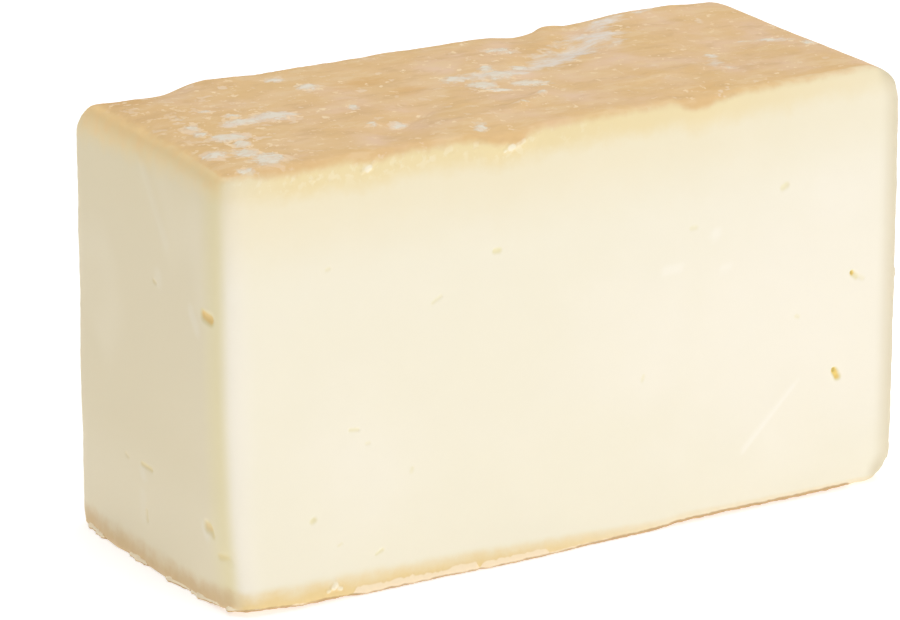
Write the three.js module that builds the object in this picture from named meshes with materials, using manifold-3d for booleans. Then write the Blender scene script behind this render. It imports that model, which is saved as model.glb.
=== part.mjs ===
// A block of soft washed-rind cheese, cut from the corner of a flat square cheese.
// The front (-Y) and the left end (-X) are cuts through the pale paste. The top, the bottom, the
// back (+Y) and the right end (+X) carry the rind, and turn into each other over round edges.
// Millimetres, +Z up, X along the length, with the origin on the floor under the middle.
import * as THREE from "three";
import { mergeVertices } from "three/addons/utils/BufferGeometryUtils.js";
import Module from "manifold-3d";

// Driving dimensions.
const LENGTH = 94.4; // X, from the cut end to the rind end
const DEPTH = 39.4; // Y, from the cut front to the rind back
const HEIGHT = 55; // Z, the thickness of the whole cheese
const RIND_ROUND = 4.2; // radius where two rind faces meet
const FOOT_ROUND = 1.7; // the smaller radius where the back meets the bottom
const END_FOOT_ROUND = 2.8; // and where the rind end meets it
const CUT_BEVEL = 1.05; // width of the worn edge round each cut face
const RIND_SWELL = 0.16; // how far the rind rises and sinks over its whole face
const FOOT_RAGGED = 0.4; // how far the torn rind at the foot of the cuts strays

// Grid of the block: even steps between the edges, and shorter ones round a rind edge.
const RIM_STEPS = 4;
const EVEN_STEPS = { x: 34, y: 13, z: 10 };

const left = -LENGTH / 2;
const right = LENGTH / 2;
const front = -DEPTH / 2;
const back = DEPTH / 2;
// A round edge drawn with one extra point: how far that point lies inside the sharp edge.
const bevelInset = CUT_BEVEL * (1 - Math.SQRT1_2);

// Places where the cheese was pressed, worn or cut askew. Each moves what lies within its radius of
// the stretch from "from" to "to", most on the stretch itself.
const PRESSES = [
  // The pressed corner at the back of the top, its higher rim at the other end, and the end's rim.
  { from: [left + 5, back - 2, HEIGHT], to: [left + 10.5, back - 2, HEIGHT], radius: 7, push: [0, 0, -0.9] },
  { from: [29, back - 2, HEIGHT], to: [right - 11, back - 2, HEIGHT], radius: 5, push: [0, 0, 0.4] },
  { from: [right - 1, -16, HEIGHT], to: [right - 1, 14, HEIGHT], radius: 6, push: [0, 0, -0.25] },
  // The notch in the top's back rim, and the long hollow beside it that runs to the middle.
  { from: [13, back - 1, HEIGHT], to: [13.5, back - 5, HEIGHT], radius: 5, push: [0, 0, -0.6] },
  { from: [22.5, back - 3, HEIGHT], to: [7, 2, HEIGHT], radius: 5.5, push: [0, 0, -0.6] },
  // A crease across the left half of the top and a shallow thumb mark near the right end.
  { from: [-22, -14, HEIGHT], to: [-13, -6, HEIGHT], radius: 4.5, push: [0, 0, -0.5] },
  { from: [32, -3, HEIGHT], to: [36, 2, HEIGHT], radius: 12, push: [0, 0, -0.55] },
  // The rind's front lip: two tongues that sag over the cut.
  { from: [-11.5, front, HEIGHT], to: [-8.5, front, HEIGHT], radius: 4, push: [0, -0.35, -0.5] },
  { from: [17, front, HEIGHT], to: [20, front, HEIGHT], radius: 4, push: [0, -0.3, -0.4] },
  // The top's rim along the cut end is worn rounder than the other rims.
  { from: [left, front + 1, HEIGHT], to: [left, back - 5, HEIGHT], radius: 3, push: [0.35, 0, -0.35] },
  // The near upright edge: rounder too, cut a little proud above, worn and lifted at its foot.
  { from: [left, front, 8], to: [left, front, HEIGHT], radius: 3.5, push: [0.5, 0.5, 0] },
  { from: [left, front, 14], to: [left, front, HEIGHT], radius: 14, push: [-0.9, 0, 0] },
  { from: [left, front, 0], to: [left, front, 1], radius: 8, push: [0.6, 0.4, 0.5] },
  // The front's foot lifts a little on the right, and its right edge stands proud.
  { from: [8, front, 0], to: [40, front, 0], radius: 6, push: [0, 0.3, 0.3] },
  { from: [right, front, 5], to: [right, front, 50], radius: 8, push: [0.5, 0, 0] },
  // Dents in the hidden rind: back and right end.
  { from: [-24, back, 30], to: [-12, back, 22], radius: 12, push: [0, -0.8, 0] },
  { from: [20, back, 38], to: [24, back, 12], radius: 10, push: [0, -0.6, 0] },
  { from: [right, 4, 40], to: [right, 8, 16], radius: 11, push: [-0.7, 0, 0] },
];

// Small eyes in the paste: where each lies on its cut face, its size, and its turn in degrees.
const FRONT_EYES = [
  { x: -11, z: 40.1, length: 1.5, width: 0.8, turn: 0 },
  { x: 30.3, z: 41.6, length: 1.5, width: 0.6, turn: 17 },
  { x: 40.8, z: 28.5, length: 1.6, width: 0.8, turn: -40 },
  { x: 38.5, z: 15.9, length: 1.9, width: 1, turn: -60 },
  { x: 32.5, z: 24.4, length: 1.1, width: 0.6, turn: -20 },
  { x: 17, z: 38.4, length: 1.2, width: 0.6, turn: 0 },
  { x: -30.6, z: 21.1, length: 1.8, width: 0.5, turn: -10 },
  { x: -36.4, z: 10.7, length: 1.4, width: 0.7, turn: 28 },
  { x: -27.3, z: 5.6, length: 1.6, width: 0.5, turn: 20 },
  { x: -22.8, z: 14.6, length: 1.1, width: 0.6, turn: 75 },
];
const END_EYES = [
  { y: -14.4, z: 36.3, length: 3.3, width: 1.6, turn: 3 },
  { y: 1.8, z: 12.8, length: 3.2, width: 0.8, turn: -1 },
  { y: -13.6, z: 10.1, length: 3, width: 1.7, turn: 16 },
  { y: -17, z: 7.1, length: 2.7, width: 1.2, turn: 8 },
  { y: 2, z: 6.5, length: 2, width: 0.8, turn: -85 },
];
const EYE_DEPTH = 0.25; // of its length, how deep an eye goes

// Crumbs of torn rind that cling along the foot of the two cuts.
const CRUMBS = { end: 9, front: 11, size: 1.5, seed: 7 };

// The same run of numbers between 0 and 1 for the same seed.
function seededDraw(seed) {
  let state = seed;
  return () => {
    state = (state * 16807) % 2147483647;
    return state / 2147483647;
  };
}

const lerp = THREE.MathUtils.lerp;
const ease = (share) => THREE.MathUtils.smoothstep(share, 0, 1);

// Distance from a point to the stretch between two others.
const stretch = new THREE.Line3();
const nearest = new THREE.Vector3();
function distanceTo(point, from, to) {
  stretch.start.fromArray(from);
  stretch.end.fromArray(to);
  return stretch.closestPointToPoint(point, true, nearest).distanceTo(point);
}

// Long low waves of the rind, about -1 to 1.
function rindWave(point) {
  const slow = Math.sin(point.x / 7.5 + 0.6) * Math.cos(point.y / 6.2 - point.z / 9);
  const quick = Math.sin(point.x / 3.1 + point.y / 4.3 + point.z / 3.7);
  return 0.65 * slow + 0.35 * quick;
}

// One coordinate of a grid line: a bevel at a cut, even steps, then the start of a round edge.
function alongCutAxis(index, steps, low, innerHigh) {
  if (index === 0) return low;
  const share = Math.min(1, (index - 1) / steps);
  return lerp(low + CUT_BEVEL, innerHigh, share);
}

// The block as a closed grid of triangles, rounded, worn and pressed.
function blockGeometry(draw) {
  const steps = {
    x: 1 + EVEN_STEPS.x + RIM_STEPS,
    y: 1 + EVEN_STEPS.y + RIM_STEPS,
    z: RIM_STEPS + EVEN_STEPS.z + RIM_STEPS,
  };
  const box = new THREE.BoxGeometry(steps.x, steps.y, steps.z, steps.x, steps.y, steps.z);
  box.deleteAttribute("normal");
  box.deleteAttribute("uv");
  const grid = mergeVertices(box);
  const position = grid.getAttribute("position");
  const point = new THREE.Vector3();
  const moved = new THREE.Vector3();
  const towardRind = new THREE.Vector3();

  for (let n = 0; n < position.count; n++) {
    const i = Math.round(position.getX(n) + steps.x / 2);
    const j = Math.round(position.getY(n) + steps.y / 2);
    const k = Math.round(position.getZ(n) + steps.z / 2);

    // How far the point is into each round rind edge, 0 to 1, below the middle -1 to 0.
    const overEnd = Math.max(0, i - (steps.x - RIM_STEPS)) / RIM_STEPS;
    const overBack = Math.max(0, j - (steps.y - RIM_STEPS)) / RIM_STEPS;
    const overTop = Math.max(0, k - (steps.z - RIM_STEPS)) / RIM_STEPS;
    const overFoot = Math.max(0, RIM_STEPS - k) / RIM_STEPS;
    towardRind.set(overEnd, overBack, overTop - overFoot);
    const onRind = Math.max(overEnd, overBack, overTop, overFoot) === 1;
    const squeeze = Math.max(overEnd, overBack, overTop, overFoot) / (towardRind.length() || 1);

    const backRound = lerp(FOOT_ROUND, RIND_ROUND, ease(k / steps.z));
    const endRound = lerp(END_FOOT_ROUND, RIND_ROUND, ease(k / steps.z));
    const footRound = lerp(FOOT_ROUND, END_FOOT_ROUND, ease(i / steps.x));
    const evenHeight = THREE.MathUtils.clamp((k - RIM_STEPS) / EVEN_STEPS.z, 0, 1);
    point.set(
      alongCutAxis(i, EVEN_STEPS.x, left, right - endRound) + endRound * overEnd * squeeze,
      alongCutAxis(j, EVEN_STEPS.y, front, back - backRound) + backRound * overBack * squeeze,
      lerp(footRound, HEIGHT - RIND_ROUND, evenHeight) +
        (RIND_ROUND * overTop - footRound * overFoot) * squeeze,
    );
    towardRind.normalize();

    // A cut's edges are worn round: their points lie inside each face that meets there. The foot of
    // a cut is torn instead.
    const cuts = (i === 0) + (j === 0);
    if (cuts + onRind > 1 && (k > 0 || cuts === 2)) {
      if (i === 0) point.x += bevelInset;
      if (j === 0) point.y += bevelInset;
      if (onRind && k > 0) point.addScaledVector(towardRind, -bevelInset);
    }

    // The rind's own unevenness, and its torn edge at the foot of the cuts. The bottom stays flat.
    if (onRind && overFoot === 0) point.addScaledVector(towardRind, RIND_SWELL * rindWave(point));
    if (cuts && k === 0) {
      point.z += FOOT_RAGGED * draw();
      point.x += i === 0 ? FOOT_RAGGED * (draw() - 0.5) : 0;
      point.y += j === 0 ? FOOT_RAGGED * (draw() - 0.5) : 0;
    }

    moved.copy(point);
    for (const { from, to, radius, push } of PRESSES) {
      const share = ease(1 - distanceTo(point, from, to) / radius);
      moved.addScaledVector(towardRind.fromArray(push), share);
    }
    position.setXYZ(n, moved.x, moved.y, moved.z);
  }
  return grid;
}

// Positions alone, with shared corners merged, as joining and cutting need.
function mergedPositions(geometry) {
  geometry.deleteAttribute("normal");
  geometry.deleteAttribute("uv");
  return mergeVertices(geometry);
}

// A lens-shaped eye, its length turned in the plane of the face, lying half in and half out.
function eyeGeometry(eye, place, faceTurn) {
  const lens = mergedPositions(new THREE.IcosahedronGeometry(1, 1));
  lens.scale(eye.length / 2, eye.length * EYE_DEPTH, eye.width / 2);
  lens.rotateY(-THREE.MathUtils.degToRad(eye.turn));
  lens.rotateZ(faceTurn);
  lens.translate(...place);
  return lens;
}

// A chip of rind with few sides, half sunk in the foot of a cut.
function crumbGeometry(draw, place) {
  const size = CRUMBS.size * lerp(0.45, 1, draw());
  const crumb = mergedPositions(new THREE.OctahedronGeometry(size / 2));
  crumb.scale(1, 0.55, lerp(0.35, 0.6, draw()));
  crumb.rotateZ(draw() * Math.PI);
  crumb.translate(...place);
  return crumb;
}

const wasm = await Module();
wasm.setup();

function solidFrom(geometry) {
  return new wasm.Manifold(
    new wasm.Mesh({
      numProp: 3,
      vertProperties: new Float32Array(geometry.getAttribute("position").array),
      triVerts: new Uint32Array(geometry.index.array),
    }),
  );
}

function geometryFrom(solid) {
  const mesh = solid.getMesh();
  const geometry = new THREE.BufferGeometry();
  geometry.setAttribute("position", new THREE.BufferAttribute(mesh.vertProperties, 3));
  geometry.setIndex(new THREE.BufferAttribute(mesh.triVerts, 1));
  geometry.computeVertexNormals();
  return geometry;
}

// The whole block: crumbs joined to its foot first, then the eyes cut into both cuts.
function cheeseGeometry() {
  const draw = seededDraw(CRUMBS.seed);
  let solid = solidFrom(blockGeometry(draw));

  const crumbHeight = () => CRUMBS.size * lerp(0.4, 0.75, draw());
  const spread = (index, count) => (index + 0.2 + 0.6 * draw()) / count;
  for (let n = 0; n < CRUMBS.end; n++) {
    const y = lerp(front + 6, back - FOOT_ROUND - 2, spread(n, CRUMBS.end));
    solid = solid.add(solidFrom(crumbGeometry(draw, [left + bevelInset, y, crumbHeight()])));
  }
  for (let n = 0; n < CRUMBS.front; n++) {
    const x = lerp(left + 6, right / 2, spread(n, CRUMBS.front));
    solid = solid.add(solidFrom(crumbGeometry(draw, [x, front + bevelInset, crumbHeight()])));
  }

  for (const eye of FRONT_EYES) {
    solid = solid.subtract(solidFrom(eyeGeometry(eye, [eye.x, front, eye.z], 0)));
  }
  for (const eye of END_EYES) {
    solid = solid.subtract(solidFrom(eyeGeometry(eye, [left, eye.y, eye.z], -Math.PI / 2)));
  }
  return geometryFrom(solid);
}

const paste = new THREE.MeshStandardMaterial({ color: 0xf4e8cc, roughness: 0.5, metalness: 0 });
const cheese = new THREE.Mesh(cheeseGeometry(), paste);
cheese.name = "cheese_block";

// Stand the finished block on the floor, centred over the origin.
const extent = new THREE.Box3().setFromObject(cheese);
const middle = extent.getCenter(new THREE.Vector3());
cheese.position.set(-middle.x, -middle.y, -extent.min.z);

const part = new THREE.Group();
part.add(cheese);

export default part;
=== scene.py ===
# A block of soft washed-rind cheese, cut from the corner of a flat square cheese.
# The front (-Y) and the left end (-X) are cuts through pale paste. The top, the bottom, the back
# (+Y) and the right end (+X) are rind.
import math

import bpy
import numpy as np
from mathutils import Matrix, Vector


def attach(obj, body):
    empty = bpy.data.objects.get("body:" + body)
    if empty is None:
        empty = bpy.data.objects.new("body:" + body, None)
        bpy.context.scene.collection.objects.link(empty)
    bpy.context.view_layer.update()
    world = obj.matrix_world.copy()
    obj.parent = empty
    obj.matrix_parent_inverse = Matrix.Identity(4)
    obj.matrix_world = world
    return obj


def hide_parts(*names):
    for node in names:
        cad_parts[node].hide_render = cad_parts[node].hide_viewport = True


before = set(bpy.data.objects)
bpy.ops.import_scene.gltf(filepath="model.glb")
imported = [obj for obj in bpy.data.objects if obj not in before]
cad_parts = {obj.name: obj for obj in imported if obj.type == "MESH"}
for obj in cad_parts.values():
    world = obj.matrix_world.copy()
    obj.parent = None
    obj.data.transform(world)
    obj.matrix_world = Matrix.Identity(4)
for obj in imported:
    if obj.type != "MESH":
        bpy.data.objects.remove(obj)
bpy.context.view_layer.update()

MM = 0.001
NODE = "cheese_block"

# Sizes of the block in millimetres, as its solid has them.
LENGTH = 94.4
DEPTH = 39.4
HEIGHT = 55
LEFT, RIGHT = -LENGTH / 2, LENGTH / 2
FRONT, BACK = -DEPTH / 2, DEPTH / 2
# The block's middle stands a little off the origin, because its edges stand proud unevenly.
MIDDLE = Vector((0.086, 0.067, 0))

# Radius of the edges where two faces of rind meet, and of the upright edge between the two cuts.
WIDEST_ROUND = 4.2
NEAR_ROUND = 3
EDGE_ROUNDS = {
    ("right", "top"): WIDEST_ROUND,
    ("right", "back"): WIDEST_ROUND,
    ("right", "bottom"): 2.8,
    ("back", "top"): WIDEST_ROUND,
    ("back", "bottom"): 1.6,
    ("left", "front"): NEAR_ROUND,
}
EDGE_SEGMENTS = 6
VOXEL = 0.6  # the block's mesh width after remeshing

# Rims of the two cuts, worn round by smoothing: where each runs, and its radius.
RIMS = [
    ((LEFT, FRONT + 1, HEIGHT), (LEFT, BACK - 5, HEIGHT), 2.3),
    ((LEFT + 1, FRONT + 1, 7), (LEFT + 1, FRONT + 1, HEIGHT), 2),
    ((LEFT, BACK, 2.7), (LEFT, BACK, HEIGHT - 4), 1.0),
    ((LEFT + 1, FRONT, HEIGHT), (RIGHT, FRONT, HEIGHT), 1.0),
    ((RIGHT, FRONT, 3.5), (RIGHT, FRONT, HEIGHT), 1.7),
    ((LEFT, FRONT, 0), (RIGHT, FRONT, 0), 0.6),
    ((LEFT, FRONT, 0), (LEFT, BACK, 0), 0.35),
]
WEAR_PASSES = 72  # smoothing passes that wear a rim to the widest of these radii
WEAR_REACH = 1.55  # how far the wear reaches at full strength, in radii

# Places where the cheese was pressed, worn or cut askew: a stretch, the radius round it that
# follows, and the move in millimetres.
PRESSES = [
    # The pressed corner at the back of the top, and the rounder corner at its other end.
    ((LEFT + 5, BACK - 2, HEIGHT), (LEFT + 10.5, BACK - 2, HEIGHT), 7, (0, 0, -0.85)),
    ((29, BACK - 2, HEIGHT), (RIGHT - 11, BACK - 2, HEIGHT), 5, (0, 0, 0.4)),
    ((LEFT + 1, BACK - 3, HEIGHT), (LEFT + 3, BACK - 2, HEIGHT), 6, (0, 0, 0.35)),
    ((-33, BACK - 2, HEIGHT), (-28, BACK - 2, HEIGHT), 5, (0, 0, 0.3)),
    ((LEFT, BACK, 32), (LEFT, BACK, HEIGHT - 4), 14, (0.1, 0, 0)),
    ((RIGHT - 1, -16, HEIGHT), (RIGHT - 1, 14, HEIGHT), 6, (0, 0, -0.25)),
    # The notch in the top's back rim, and the long hollow beside it that runs to the middle.
    ((13, BACK - 1, HEIGHT), (13.5, BACK - 5, HEIGHT), 5, (0, 0, -0.6)),
    ((21.5, BACK - 5, HEIGHT), (16, 7.5, HEIGHT), 4, (0, 0, -0.45)),
    ((16, 7.5, HEIGHT), (7, 3, HEIGHT), 4.5, (0, 0, -0.45)),
    ((15.2, BACK - 1.5, HEIGHT), (16.0, BACK - 1.5, HEIGHT), 2, (0, 0, -0.2)),
    ((18.2, BACK - 1.5, HEIGHT), (19.6, BACK - 1.5, HEIGHT), 2.2, (0, 0, 0.25)),
    # A crease across the left half of the top and a shallow thumb mark near the right end.
    ((-22, -14, HEIGHT), (-13, -6, HEIGHT), 4.5, (0, 0, -0.4)),
    ((-20.1, -11.1, HEIGHT), (-14.3, -8.4, HEIGHT), 1.6, (0, 0, -0.25)),
    ((32, -3, HEIGHT), (36, 2, HEIGHT), 12, (0, 0, -0.55)),
    # Low ridges that run along the front half of the top.
    ((-13, -14.5, HEIGHT), (-3, -12, HEIGHT), 1.8, (0, 0, 0.25)),
    ((-3, -12, HEIGHT), (3, -9, HEIGHT), 1.8, (0, 0, 0.25)),
    ((14, -10, HEIGHT), (24, -9, HEIGHT), 2.2, (0, 0, 0.2)),
    # The rind's front lip: two tongues that sag over the cut.
    ((-11.5, FRONT, HEIGHT), (-8.5, FRONT, HEIGHT), 4, (0, -0.35, -0.5)),
    ((17, FRONT, HEIGHT), (20, FRONT, HEIGHT), 4, (0, -0.3, -0.4)),
    # The cut end draws in a little at its foot, but spreads behind.
    ((LEFT, -16, 0), (LEFT, -9, 0), 6, (0.3, 0, 0)),
    ((LEFT, -3, 0), (LEFT, 8, 0), 5, (-0.2, 0, 0)),
    ((LEFT, 10, 0), (LEFT, 13, 0), 4, (-0.4, 0, 0)),
    # The near upright edge: leaning out above, worn and lifted at its foot.
    ((LEFT + 0.9, FRONT + 0.9, 30), (LEFT + 0.9, FRONT + 0.9, HEIGHT), 24, (-0.6, 0, 0)),
    ((LEFT + 0.9, FRONT + 0.9, 14), (LEFT + 0.9, FRONT + 0.9, HEIGHT), 10, (-0.45, 0, 0)),
    ((LEFT + 0.9, FRONT + 0.9, 0), (LEFT + 0.9, FRONT + 0.9, 1), 9, (0.4, 0.35, 0.5)),
    # The front's foot swells and hollows in places, and its right edge stands a little proud.
    ((-11, FRONT, 0), (-3, FRONT, 0), 6, (0, -0.3, 0)),
    ((-42, FRONT, 0), (-34, FRONT, 0), 5, (0, -0.1, 0.25)),
    ((17, FRONT, 0), (38, FRONT, 0), 6, (0, 0.3, 0.3)),
    ((43, FRONT, 0), (RIGHT, FRONT, 0), 5, (0, 0.3, 0.35)),
    ((RIGHT, FRONT, 5), (RIGHT, FRONT, 50), 8, (0.55, 0, 0)),
    # Dents in the hidden rind: back and right end.
    ((-24, BACK, 30), (-12, BACK, 22), 12, (0, -0.8, 0)),
    ((20, BACK, 38), (24, BACK, 12), 10, (0, -0.6, 0)),
    ((RIGHT, 4, 40), (RIGHT, 8, 16), 11, (-0.7, 0, 0)),
    # Faint marks that the wire left on both cuts.
    ((24.5, FRONT, 8), (32.7, FRONT, 16), 1.8, (0, -0.12, 0)),
    ((3, FRONT, 33.5), (13, FRONT, 31), 2.6, (0, -0.08, 0)),
    ((LEFT, 1.8, 51.4), (LEFT, -5.2, 42.3), 1.8, (-0.12, 0, 0)),
]
PRESS_STEP = 0.3  # spacing of the points picked along a stretch

# How far the rind laps down over the two cuts, and how softly it ends there. Single tongues hang
# lower on the front.
END_LAP_NEAR = 0.8
END_LAP_FAR = 2.6
END_LAP_SOFT = 2.1
FRONT_LAP_LEFT = 0.8
FRONT_LAP_RIGHT = 0.55
FRONT_LAP_FAR = 0.05
FRONT_LAP_SOFT = 0.7
RIND_FROM_CUT = 1.0  # on the other faces the rind begins this far behind the cut
TONGUES = [
    {"x": -37.5, "half": 6, "reach": 0.25},
    {"x": -27.9, "half": 3.5, "reach": 0.4},
    {"x": -9.6, "half": 3.4, "reach": 0.75},
    {"x": 17.4, "half": 3, "reach": 0.7},
]

# Height of the tan band at the foot of the two cuts, along x on the front, and of the brown line where
# the bottom ends; on the cut end that line is also painted shadow under the torn threads.
END_FOOT = 4
FRONT_FOOT = [(-47, 3.2), (-39, 3.8), (-32, 3.9), (-16, 3.4), (-6, 2.9), (12, 1.8), (34, 1.2), (47, 0.9)]
END_LINE = 0.12
FRONT_LINE_LEFT = 0.3
FRONT_LINE_RIGHT = 0.42

# Pale bloom on the top: place, size across and along the line of sight, and strength.
SIGHT_TURN = math.radians(-30.8)
BLOOM = [
    ((-39.2, -15.9), 3.3, 3.5, 1),
    ((-40.5, -12.6), 2.4, 2.8, 1),
    ((-43.9, -11.6), 2.6, 2.4, 1),
    ((-39.5, -6.4), 3.5, 3.1, 1),
    ((-39.4, -9.0), 1.8, 2.4, 1),
    ((-41.6, -3.7), 2.2, 1.7, 0.9),
    ((-41.8, -0.8), 2.0, 2.4, 0.9),
    ((-43.0, -18.2), 2.6, 1.4, 0.6),
    ((-34.8, -1.0), 3.5, 2.4, 0.9),
    ((-30.5, -1.0), 4.2, 2.8, 1),
    ((-35.0, 1.7), 2.4, 2.1, 0.6),
    ((-21.2, 7.8), 2.5, 2.4, 1),
    ((-23.2, 12.6), 2.6, 2.1, 0.6),
    ((-20.9, -2.7), 1.3, 1.7, 0.9),
    ((-22.4, -9.6), 1.3, 1.7, 0.9),
    ((-19.1, -10.4), 2.0, 2.1, 0.9),
    ((-36.9, 4.8), 2.0, 1.7, 0.5),
    ((-41.1, 4.1), 1.9, 2.4, 0.5),
    ((-4.3, 1.6), 3.6, 2.7, 0.8),
    ((1.5, 3.7), 1.6, 3.3, 0.9),
    ((1.4, 0.6), 3.8, 3.6, 0.9),
    ((-2.5, -2.2), 2.8, 3.3, 1),
    ((-1.9, -4.9), 3.8, 1.2, 0.9),
    ((2.9, -4.2), 4.3, 2.1, 0.9),
    ((5.8, 2.8), 2.8, 2.4, 0.8),
    ((7.2, 9.7), 3.4, 2.4, 0.8),
    ((1.8, -9.0), 1.1, 1.9, 1),
    ((-2.7, -11.8), 1.5, 1.7, 0.8),
    ((-11.8, -17.0), 2.0, 3.4, 0.5),
    ((29.5, -3.9), 1.7, 2.4, 0.35),
    ((27.8, -10.9), 2.6, 2.1, 0.3),
    ((39.3, -1.9), 2.6, 1.5, 0.7),
    ((43.2, -5.7), 1.8, 2.6, 0.7),
]
BLOOM_HIGH = 0.12  # how far a patch stands above the rind
# Thin bloom smeared along strokes: both ends, width and strength.
SMEARS = [
    ((6.5, 1.6), (11, 3.6), 5, 0.7),
    ((10, 3.2), (16, 6), 6.5, 0.85),
    ((15, 5.4), (21.6, 9.8), 7.5, 0.9),
    ((21, 9.4), (26.5, 15.5), 5, 0.7),
    ((-37, -1.2), (-29, -0.6), 3, 0.7),
    ((-3, 1.6), (4.5, 0.4), 4.5, 0.6),
    ((31, 15.5), (36, 17), 2, 0.5),
    ((36, 0), (42, -4), 3, 0.35),
    ((26, -10.5), (30, -4), 3.6, 0.3),
]
# The same bloom scattered over the hidden rind.
HIDDEN_BLOOM = {"count": 60, "smallest": 1.2, "largest": 4.5, "seed": 5}

# Soft paler fields on the front cut, partly the paste's own paler tone and partly painted light where the
# front's right part is brighter: middle along and up, half its width and height, strength.
PALE_AND_LIT_FIELDS = [
    (34, 24, 40, 30, 0.9),
    (14, 26, 26, 22, 0.6),
    (38, 38, 16, 14, 0.7),
    (-31, 17, 13, 14, 0.45),
]
# Soft redder fields on the top: middle along and across, half its length and width, strength.
RUST_FIELDS = [
    (-11.5, 0.3, 6, 3.5, 1),
    (20, -16, 6, 3, 0.8),
    (16.3, -7.8, 10, 4, 0.35),
    (-15, 6.2, 10, 5, 0.9),
    (-15.5, -15.8, 6, 3.5, 0.5),
    (LEFT + 5, BACK - 5, 11, 7, 0.9),
]
# Faint pale smudges on the two cuts, and the two marks of the wire.
SMUDGES = [
    {"x": 28.6, "z": 12, "length": 11.4, "width": 0.8, "turn": 44.3, "pale": 0.6},
    {"x": 20.2, "z": 37.1, "length": 2, "width": 1.8, "turn": 60, "pale": 0.5},
    {"x": 13.9, "z": 33.6, "length": 3.4, "width": 1.0, "turn": 0, "pale": 0.5},
    {"x": 21.7, "z": 32.6, "length": 2, "width": 1.2, "turn": 0, "pale": 0.4},
    {"y": -1.7, "z": 46.8, "length": 12, "width": 2, "turn": 52.4, "pale": 0.12},
    {"y": -2.2, "z": 37.8, "length": 3, "width": 2.4, "turn": 90, "pale": 0.2},
    {"y": -11.9, "z": 35.4, "length": 4.5, "width": 2.2, "turn": 45, "pale": 0.25},
    {"y": 2.8, "z": 11.6, "length": 2.4, "width": 1.8, "turn": 60, "pale": 0.25},
    {"y": 3, "z": 7.5, "length": 5, "width": 2, "turn": 90, "pale": 0.15},
    {"y": -13.2, "z": 9.5, "length": 3, "width": 2.2, "turn": 60, "pale": 0.3},
]

# Small eyes in the paste: place on the cut, length, width, turn in degrees, depth, and how yellow. A tone
# above 1 turns the upper end of an eye olive: painted shade in its hollow.
FRONT_EYES = [
    {"x": -11, "z": 40.1, "length": 1.5, "width": 0.9, "turn": 0, "deep": 0.22, "tone": 0.45},
    {"x": 30.3, "z": 41.6, "length": 1.6, "width": 1.0, "turn": 25, "deep": 0.15, "tone": 0.35},
    {"x": 40.6, "z": 28.7, "length": 0.9, "width": 0.7, "turn": -70, "deep": 0.35, "tone": 1.4},
    {"x": 41.0, "z": 28.3, "length": 1.5, "width": 0.9, "turn": -45, "deep": 0.2, "tone": 0.5},
    {"x": 41.8, "z": 27.9, "length": 1.4, "width": 0.8, "turn": -32, "deep": 0.08, "tone": 0.2},
    {"x": 38.6, "z": 15.8, "length": 2, "width": 1.1, "turn": -63, "deep": 0.35, "tone": 1},
    {"x": 38.9, "z": 15.4, "length": 1.2, "width": 1.0, "turn": -63, "deep": 0.1, "tone": 0.8},
    {"x": 38.35, "z": 16.3, "length": 0.9, "width": 0.7, "turn": -63, "deep": 0.2, "tone": 1.6},
    {"x": 32.5, "z": 24.4, "length": 1.0, "width": 0.7, "turn": -20, "deep": 0.12, "tone": 0.25},
    {"x": 17, "z": 38.4, "length": 1.4, "width": 0.8, "turn": 0, "deep": 0.1, "tone": 0.2},
    {"x": 9.9, "z": 20.3, "length": 1.2, "width": 0.6, "turn": 75, "deep": 0.1, "tone": 0.2},
    {"x": -19.3, "z": 35.4, "length": 1.9, "width": 0.6, "turn": 30, "deep": 0.12, "tone": 0.2},
    {"x": -33.8, "z": 41.6, "length": 0.9, "width": 0.6, "turn": 10, "deep": 0.1, "tone": 0.2},
    {"x": -30.6, "z": 21.1, "length": 1.6, "width": 0.6, "turn": -8, "deep": 0.2, "tone": 0.3},
    {"x": -28.8, "z": 19.1, "length": 0.9, "width": 0.6, "turn": 0, "deep": 0.1, "tone": 0.2},
    {"x": -36.3, "z": 10.7, "length": 1.2, "width": 0.9, "turn": 24, "deep": 0.22, "tone": 0.4},
    {"x": -32.7, "z": 7, "length": 0.9, "width": 0.5, "turn": 25, "deep": 0.1, "tone": 0.2},
    {"x": -27.3, "z": 5.0, "length": 1.5, "width": 0.6, "turn": 25, "deep": 0.2, "tone": 0.3},
    {"x": -22.8, "z": 14.6, "length": 1.1, "width": 0.7, "turn": 75, "deep": 0.1, "tone": 0.2},
]
END_EYES = [
    {"y": -15.6, "z": 36.9, "length": 3.4, "width": 1.7, "turn": 5, "deep": 0.28, "tone": 0.95},
    {"y": 1.8, "z": 12.8, "length": 3.2, "width": 0.8, "turn": 1, "deep": 0.15, "tone": 0.45},
    {"y": -14.0, "z": 10.2, "length": 2.6, "width": 1.8, "turn": -10, "deep": 0.25, "tone": 0.65},
    {"y": -15.1, "z": 9.7, "length": 1.6, "width": 1.2, "turn": 55, "deep": 0.12, "tone": 0.45},
    {"y": -17.2, "z": 7.2, "length": 2.8, "width": 1.2, "turn": -10, "deep": 0.12, "tone": 0.45},
    {"y": -18.3, "z": 6.7, "length": 1.7, "width": 1.1, "turn": 70, "deep": 0.1, "tone": 0.45},
    {"y": 2, "z": 6.5, "length": 2, "width": 0.8, "turn": 85, "deep": 0.12, "tone": 0.2},
    {"y": -1.2, "z": 37.1, "length": 1.2, "width": 0.6, "turn": 5, "deep": 0.12, "tone": 0.2},
    {"y": 6.8, "z": 12.7, "length": 1.4, "width": 0.7, "turn": 20, "deep": 0.1, "tone": 0.15},
]
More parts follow.
